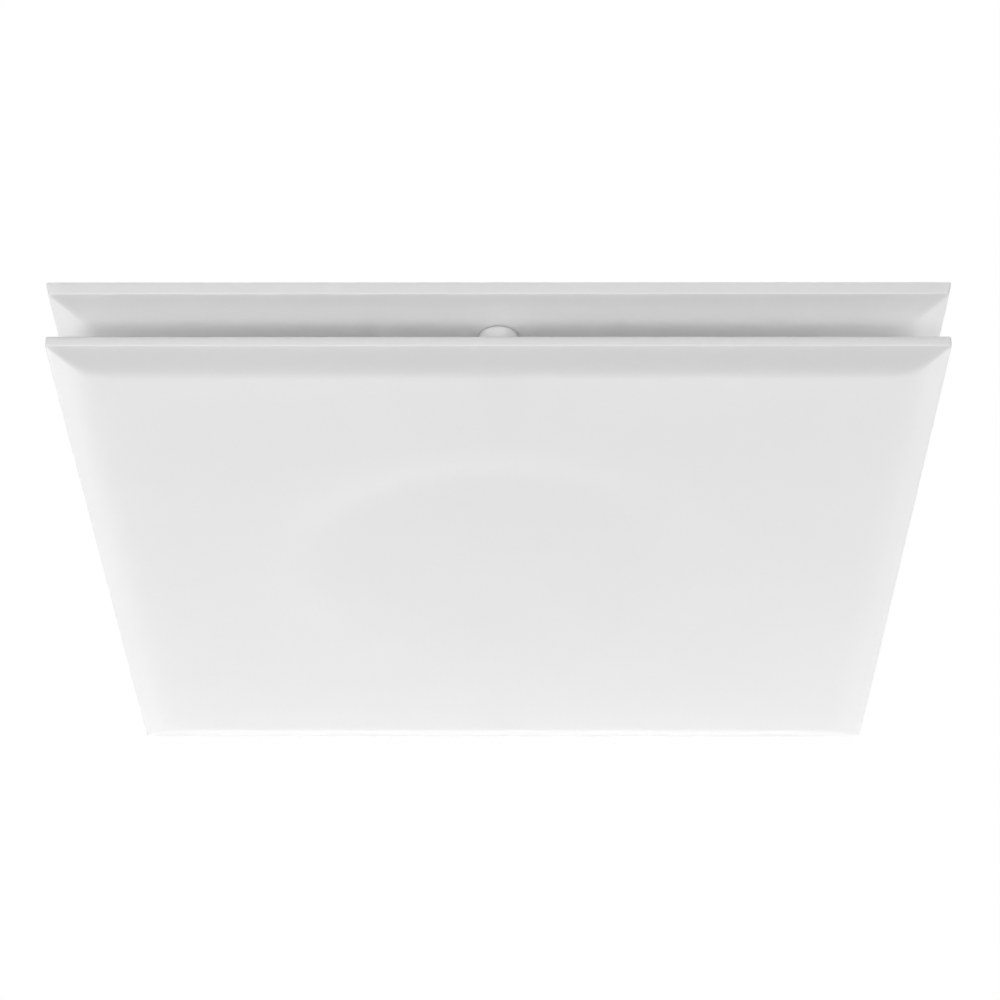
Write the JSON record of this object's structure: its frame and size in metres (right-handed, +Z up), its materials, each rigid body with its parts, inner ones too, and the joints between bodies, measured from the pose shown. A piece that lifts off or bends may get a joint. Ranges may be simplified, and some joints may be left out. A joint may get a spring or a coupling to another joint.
{
  "type": "ceiling air diffuser",
  "caption": "Square plaque-face ceiling air diffuser: a frame with a duct spigot and clamps, a damper disc on a spindle, and a pull-off face panel on magnet posts.",
  "frame": {"origin": "centre of the ceiling plane, at the top of the frame's rim, on the duct's axis", "axes": "+Z up into the ceiling void along the duct's axis; the side with post 1 faces -Y; +X to the right of it"},
  "size_m": [0.3028, 0.3028, 0.075],
  "materials": {
    "white_abs": "matte white moulded ABS with a fine texture",
    "zinc_steel": "bright zinc-plated steel",
    "spring_steel": "dark spring steel",
    "brass": "turned brass",
    "nickel": "nickel-plated magnet",
    "black_rubber": "matte EPDM rubber",
    "grey_foam": "closed-cell foam",
    "nylon": "natural nylon"
  },
  "bodies": {
    "frame": {"ceiling_frame": "white_abs", "ceiling_seal": "grey_foam", "duct_spigot": "white_abs", "neck_gasket": "grey_foam", "spigot_seal": "black_rubber", "cross_bar": "zinc_steel", "spindle_bush": "nylon", "spigot_screw_1": "zinc_steel", "spigot_screw_2": "zinc_steel", "spigot_screw_3": "zinc_steel", "spigot_screw_4": "zinc_steel", "bar_screw_1": "zinc_steel", "bar_screw_2": "zinc_steel", "guide_rod_1": "zinc_steel", "guide_rod_2": "zinc_steel", "keeper_plate_1": "zinc_steel", "keeper_plate_2": "zinc_steel", "keeper_plate_3": "zinc_steel", "keeper_plate_4": "zinc_steel", "keeper_screw_1": "zinc_steel", "keeper_screw_2": "zinc_steel", "keeper_screw_3": "zinc_steel", "keeper_screw_4": "zinc_steel"},
    "spindle": {"lead_screw": "nylon", "thrust_washer": "zinc_steel", "spindle_clip": "spring_steel"},
    "damper": {"damper_disc": "white_abs", "disc_nut": "nylon", "damper_seal": "black_rubber"},
    "panel": {"face_panel": "white_abs", "spacer_post_1": "white_abs", "spacer_post_2": "white_abs", "spacer_post_3": "white_abs", "spacer_post_4": "white_abs", "magnet_1": "nickel", "magnet_2": "nickel", "magnet_3": "nickel", "magnet_4": "nickel", "post_screw_1": "zinc_steel", "post_screw_2": "zinc_steel", "post_screw_3": "zinc_steel", "post_screw_4": "zinc_steel"},
    "clamp_screw_1": {"clamp_screw_1": "zinc_steel", "clamp_clip_1": "spring_steel"},
    "clamp_nut_1": {"clamp_nut_1": "brass"},
    "clamp_dog_1": {"clamp_dog_1": "white_abs"},
    "clamp_screw_2": {"clamp_screw_2": "zinc_steel", "clamp_clip_2": "spring_steel"},
    "clamp_nut_2": {"clamp_nut_2": "brass"},
    "clamp_dog_2": {"clamp_dog_2": "white_abs"},
    "clamp_screw_3": {"clamp_screw_3": "zinc_steel", "clamp_clip_3": "spring_steel"},
    "clamp_nut_3": {"clamp_nut_3": "brass"},
    "clamp_dog_3": {"clamp_dog_3": "white_abs"},
    "clamp_screw_4": {"clamp_screw_4": "zinc_steel", "clamp_clip_4": "spring_steel"},
    "clamp_nut_4": {"clamp_nut_4": "brass"},
    "clamp_dog_4": {"clamp_dog_4": "white_abs"}
  },
  "joints": [
    {"name": "face_panel_pull", "type": "slide", "parent": "frame", "child": "panel", "axis": [0, 0, -1], "range_m": [0, 0.06]},
    {"name": "lead_screw_spin", "type": "hinge", "parent": "frame", "child": "spindle", "pos_m": [0, 0, 0], "axis": [0, 0, -1], "range_deg": [0, 2160]},
    {"name": "damper_travel", "type": "slide", "parent": "frame", "child": "damper", "axis": [0, 0, 1], "range_m": [0, 0.024]},
    {"name": "clamp_screw_spin_1", "type": "hinge", "parent": "frame", "child": "clamp_screw_1", "pos_m": [0.07495, -0.07495, 0], "axis": [0, 0, 1], "range_deg": [0, 4680]},
    {"name": "clamp_nut_travel_1", "type": "slide", "parent": "frame", "child": "clamp_nut_1", "axis": [0, 0, -1], "range_m": [0, 0.026]},
    {"name": "clamp_dog_swing_1", "type": "hinge", "parent": "clamp_nut_1", "child": "clamp_dog_1", "pos_m": [0.07495, -0.07495, 0.0325], "axis": [0, 0, 1], "range_deg": [0, 90]},
    {"name": "clamp_screw_spin_2", "type": "hinge", "parent": "frame", "child": "clamp_screw_2", "pos_m": [0.07495, 0.07495, 0], "axis": [0, 0, 1], "range_deg": [0, 4680]},
    {"name": "clamp_nut_travel_2", "type": "slide", "parent": "frame", "child": "clamp_nut_2", "axis": [0, 0, -1], "range_m": [0, 0.026]},
    {"name": "clamp_dog_swing_2", "type": "hinge", "parent": "clamp_nut_2", "child": "clamp_dog_2", "pos_m": [0.07495, 0.07495, 0.0325], "axis": [0, 0, 1], "range_deg": [0, 90]},
    {"name": "clamp_screw_spin_3", "type": "hinge", "parent": "frame", "child": "clamp_screw_3", "pos_m": [-0.07495, 0.07495, 0], "axis": [0, 0, 1], "range_deg": [0, 4680]},
    {"name": "clamp_nut_travel_3", "type": "slide", "parent": "frame", "child": "clamp_nut_3", "axis": [0, 0, -1], "range_m": [0, 0.026]},
    {"name": "clamp_dog_swing_3", "type": "hinge", "parent": "clamp_nut_3", "child": "clamp_dog_3", "pos_m": [-0.07495, 0.07495, 0.0325], "axis": [0, 0, 1], "range_deg": [0, 90]},
    {"name": "clamp_screw_spin_4", "type": "hinge", "parent": "frame", "child": "clamp_screw_4", "pos_m": [-0.07495, -0.07495, 0], "axis": [0, 0, 1], "range_deg": [0, 4680]},
    {"name": "clamp_nut_travel_4", "type": "slide", "parent": "frame", "child": "clamp_nut_4", "axis": [0, 0, -1], "range_m": [0, 0.026]},
    {"name": "clamp_dog_swing_4", "type": "hinge", "parent": "clamp_nut_4", "child": "clamp_dog_4", "pos_m": [-0.07495, -0.07495, 0.0325], "axis": [0, 0, 1], "range_deg": [0, 90]}
  ],
  "couplings": [
    {"joint": "lead_screw_spin", "follows": "damper_travel", "rad_per_m": 1570.8},
    {"joint": "clamp_screw_spin_1", "follows": "clamp_nut_travel_1", "rad_per_m": 3141.6},
    {"joint": "clamp_screw_spin_2", "follows": "clamp_nut_travel_2", "rad_per_m": 3141.6},
    {"joint": "clamp_screw_spin_3", "follows": "clamp_nut_travel_3", "rad_per_m": 3141.6},
    {"joint": "clamp_screw_spin_4", "follows": "clamp_nut_travel_4", "rad_per_m": 3141.6}
  ]
}
